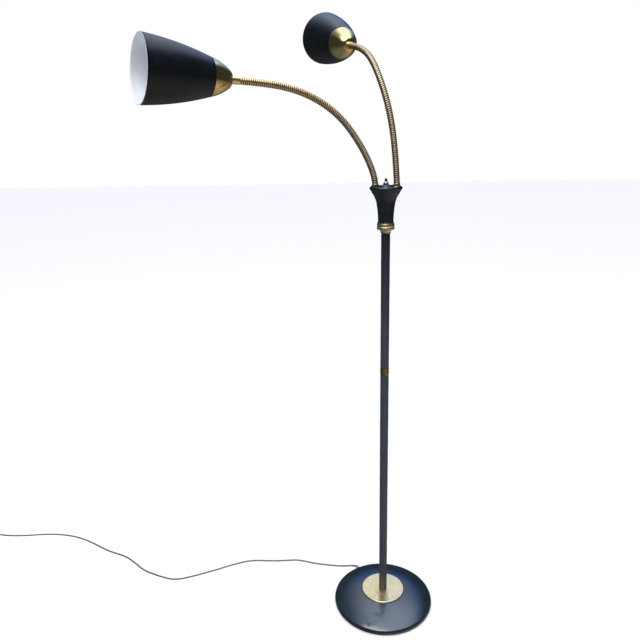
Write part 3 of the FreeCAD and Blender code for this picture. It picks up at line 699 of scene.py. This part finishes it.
# ---------------------------------------------------------------- stage
def make_camera():
    """Level with the shades, looking a little down."""
    ahead = Vector((math.sin(YAW) * math.cos(PITCH), math.cos(YAW) * math.cos(PITCH), -math.sin(PITCH)))
    level = Vector((math.cos(YAW), -math.sin(YAW), 0))
    upward = level.cross(ahead)
    right = level * math.cos(ROLL) + upward * math.sin(ROLL)
    top = upward * math.cos(ROLL) - level * math.sin(ROLL)
    data = bpy.data.cameras.new("camera")
    data.lens = LENS
    data.sensor_width = 36
    data.clip_end = 100
    camera = bpy.data.objects.new("camera", data)
    camera.matrix_world = Matrix.Translation(EYE) @ Matrix((right, top, -ahead)).transposed().to_4x4()
    bpy.context.scene.collection.objects.link(camera)
    bpy.context.scene.camera = camera


def make_world():
    """Open sky over a dark garden and pale paving, which the gloss reflects.

    What the camera sees of it is plain white.
    """
    world = bpy.data.worlds.new("studio")
    bpy.context.scene.world = world
    world.use_nodes = True
    tree = world.node_tree
    tree.nodes.clear()
    way = node(tree, "ShaderNodeTexCoord").outputs["Generated"]
    x, y, z = node(tree, "ShaderNodeSeparateXYZ", Vector=way).outputs
    ragged = node(tree, "ShaderNodeTexNoise", Vector=way, Scale=3.2, Detail=4.0).outputs[0]
    ragged = spread(tree, ragged, -0.12, 0.12)
    aside = maths(tree, "MULTIPLY", x, maths(tree, "ADD", maths(tree, "MULTIPLY", x, 0.90), 0.13))
    edge = maths(tree, "ADD", maths(tree, "ADD", aside, 0.29), ragged)
    above = spread(tree, maths(tree, "SUBTRACT", z, edge), 0.0, 1.0, -0.12, 0.2)
    blue = maths(tree, "ADD", maths(tree, "MULTIPLY", x, 1.2), maths(tree, "MULTIPLY", z, -1.6))
    blue = maths(tree, "ADD", blue, 1.15, clamp=True)
    low_sky = spread(tree, z, 1.0, 0.0, 0.42, 0.60)
    blue = maths(tree, "MAXIMUM", blue, maths(tree, "MULTIPLY", low_sky, spread(tree, y, 0.0, 1.0, 0.3, 0.7)))
    sky = blend_colours(tree, blue, (0.98, 1.08, 1.42), (0.13, 0.48, 1.45))
    sky = blend_colours(tree, spread(tree, z, 0.0, 1.0, 0.66, 0.93), sky, (2.2, 2.5, 3.1))
    sky = blend_colours(tree, spread(tree, x, 0.0, 1.0, -0.55, -0.12), (0.22, 0.30, 0.42), sky)
    paving = blend_colours(tree, spread(tree, x, 0.0, 1.0, -0.3, 0.5), (0.16, 0.18, 0.20), (0.58, 0.52, 0.44))
    ground = blend_colours(tree, spread(tree, z, 1.0, 0.0, -0.68, -0.22), (0.045, 0.052, 0.042), paving)
    colour = blend_colours(tree, above, ground, sky)
    seen = node(tree, "ShaderNodeLightPath").outputs["Is Camera Ray"]
    shown = blend_colours(tree, seen, colour, (1.0, 1.0, 1.0))
    background = node(tree, "ShaderNodeBackground", Color=shown, Strength=1.0)
    out = tree.nodes.new("ShaderNodeOutputWorld")
    tree.links.new(background.outputs[0], out.inputs[0])


def make_floor():
    """A plain pale floor. The gloss doesn't show it, so that it reflects the surroundings instead."""
    mesh = bpy.data.meshes.new("floor")
    half = 15.0
    corners = [(-half, -half, 0), (half, -half, 0), (half, half, 0), (-half, half, 0)]
    mesh.from_pydata(corners, [], [(0, 1, 2, 3)])
    material, tree = fresh("pale_floor")
    tone = blend_colours(tree, noise(tree, 0.8, 2.0), (0.88, 0.82, 0.72), (0.90, 0.84, 0.74))
    far = spread(tree, axis_distance(tree), 0.0, 1.0, 0.8, 3.5)
    tone = blend_colours(tree, far, tone, (0.97, 0.93, 0.80))
    # Far away a faint warm glow evens out the blue skylight, so that the floor is as white as the backdrop.
    glow = blend_colours(tree, far, (0.0, 0.0, 0.0), (0.15, 0.06, 0.01))
    floor = add_object("floor", mesh, finish_surface(material, tree, tone, 0.9, Emission_Strength=1.0,
                                                     Emission_Color=glow))
    floor.visible_glossy = False


def make_lights():
    """One large soft box high in front."""
    data = bpy.data.lights.new("soft_box", "AREA")
    data.shape = "RECTANGLE"
    data.size, data.size_y = 2.4, 1.6
    data.energy = 75
    data.color = (1.0, 0.94, 0.86)
    light = bpy.data.objects.new("soft_box", data)
    light.location = (-0.6, -1.5, 3.4)
    light.rotation_euler = (Vector((0, 0, 1.0)) - light.location).to_track_quat("-Z", "Y").to_euler()
    bpy.context.scene.collection.objects.link(light)


bpy.context.scene.view_settings.view_transform = "Standard"
make_camera()
make_cord()
dress_cad_nodes()
for arm in ARMS:
    make_shade(arm)
    make_neck(arm)
make_world()
make_floor()
make_lights()
